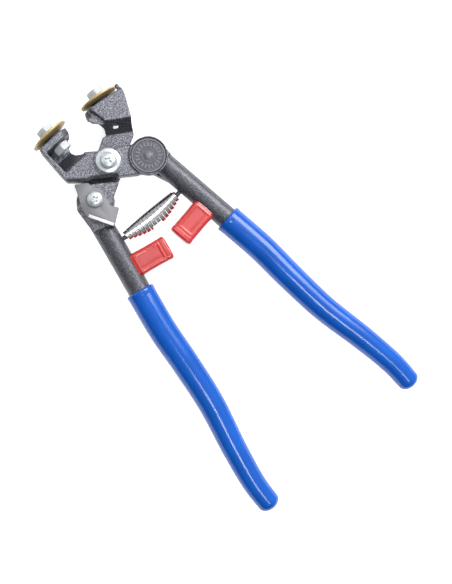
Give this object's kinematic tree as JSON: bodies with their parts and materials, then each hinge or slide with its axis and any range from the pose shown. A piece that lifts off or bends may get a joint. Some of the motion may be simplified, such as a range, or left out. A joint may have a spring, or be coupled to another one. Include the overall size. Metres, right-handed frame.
{
  "type": "tile nippers",
  "caption": "Compound tile nippers with round carbide wheels, crossed cast jaws, a barrel return spring, dipped grips, closing bumpers and a swinging stop plate.",
  "frame": {"origin": "on the pivot axis, at the flat rear face of the pivot bush's head, the lowest plane of the tool as it lies", "axes": "+Y from the handles to the cutting wheels, +Z along the pivot axis to the face with the pivot screw's cross recess, +X to the right as seen from that face"},
  "size_m": [0.1272, 0.2641, 0.0295],
  "materials": {
    "casting": "dark grey hammered paint",
    "steel_tube": "dark grey hammered paint",
    "grip": "glossy blue dipped vinyl",
    "bumper": "soft red vinyl",
    "carbide": "ground carbide with a gold coating",
    "zinc": "bright zinc plate",
    "plate": "satin pressed steel",
    "spring": "bright chrome plate"
  },
  "bodies": {
    "rear_lever": {"rear_arm": "casting", "rear_handle_tube": "steel_tube", "rear_grip": "grip", "rear_bumper_lug": "steel_tube", "rear_bumper": "bumper", "rear_spring_peg": "steel_tube", "rear_medallion": "casting", "rear_wheel_washer": "zinc", "rear_wheel_bolt": "zinc", "rear_wheel_nut": "zinc", "return_spring": "spring", "pivot_bush": "zinc", "pivot_screw": "zinc", "pivot_washer": "zinc", "stop_plate_screw": "zinc"},
    "front_lever": {"front_arm": "casting", "front_handle_tube": "steel_tube", "front_grip": "grip", "front_bumper_lug": "steel_tube", "front_bumper": "bumper", "front_spring_peg": "steel_tube", "front_medallion": "casting", "front_wheel_washer": "zinc", "front_wheel_bolt": "zinc", "front_wheel_nut": "zinc"},
    "front_wheel": {"front_cutting_wheel": "carbide"},
    "rear_wheel": {"rear_cutting_wheel": "carbide"},
    "stop": {"stop_plate": "plate"}
  },
  "joints": [
    {"name": "lever_close", "type": "hinge", "parent": "rear_lever", "child": "front_lever", "pos_m": [0, 0, 0.0145], "axis": [0, 0, -1], "range_deg": [0, 12], "stiffness_Nm_per_rad": 1.2, "springref_deg": -6.88, "deforming": ["return_spring", "front_bumper", "rear_bumper"]},
    {"name": "front_wheel_turn", "type": "hinge", "parent": "front_lever", "child": "front_wheel", "pos_m": [-0.0163, 0.0346, 0.0145], "axis": [-0.0872, 0.9962, 0], "continuous": true},
    {"name": "rear_wheel_turn", "type": "hinge", "parent": "rear_lever", "child": "rear_wheel", "pos_m": [0.0204, 0.0334, 0.0145], "axis": [0.0872, 0.9962, 0], "continuous": true},
    {"name": "stop_swing", "type": "hinge", "parent": "rear_lever", "child": "stop", "pos_m": [-0.0203, -0.0124, 0.0145], "axis": [0, 0, 1], "range_deg": [0, 30]}
  ]
}
